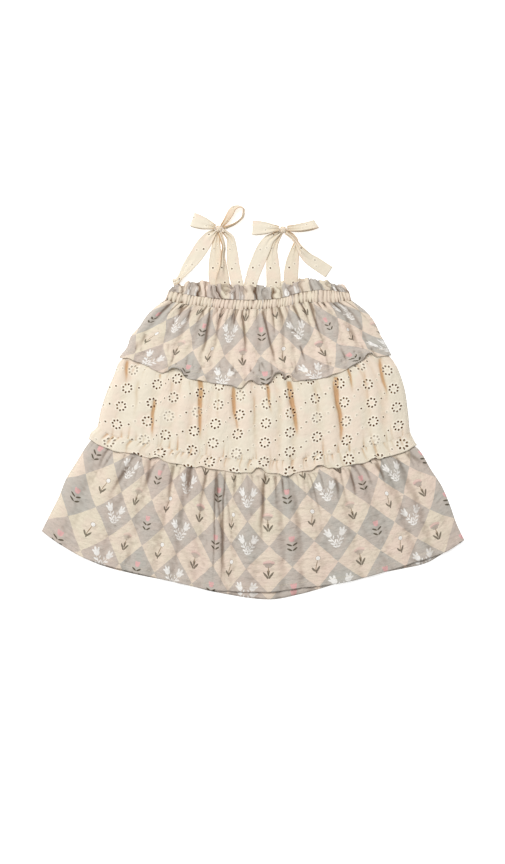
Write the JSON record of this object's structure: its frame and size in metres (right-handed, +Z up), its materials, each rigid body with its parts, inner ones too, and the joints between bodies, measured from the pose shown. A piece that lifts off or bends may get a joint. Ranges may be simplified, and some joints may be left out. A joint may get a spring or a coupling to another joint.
{
  "type": "child's tiered sun dress",
  "caption": "Sleeveless tiered dress for a small child, laid flat: gathered elastic neckline, ruffled tiers in diamond print and eyelet cotton, and ribbon straps tied in bows at the shoulders.",
  "frame": {"origin": "centre of the footprint on the table, under the dress laid flat on its back", "axes": "+X to the right as seen from above, +Y from the hem to the shoulder bows, +Z up from the table through the front of the dress"},
  "size_m": [0.5908, 0.5515, 0.016],
  "materials": {
    "print": "crinkled cotton muslin, printed with cream and grey diamonds",
    "eyelet": "cream cotton with stitched eyelets"
  },
  "bodies": {
    "root": {"bodice_front": "print", "bodice_back": "print", "middle_front": "eyelet", "middle_back": "eyelet", "skirt_front": "print", "skirt_back": "print", "casing_front": "print", "casing_back": "print", "heading_front": "print", "heading_back": "print", "strap_left_back": "eyelet", "strap_left_front": "eyelet", "tail_left_inner": "eyelet", "tail_left_outer": "eyelet", "strap_right_back": "eyelet", "strap_right_front": "eyelet", "tail_right_inner": "eyelet", "tail_right_outer": "eyelet", "loop_left_outer": "eyelet", "loop_left_inner": "eyelet", "loop_right_inner": "eyelet", "loop_right_outer": "eyelet", "knot_left": "eyelet", "knot_right": "eyelet"}
  },
  "joints": []
}
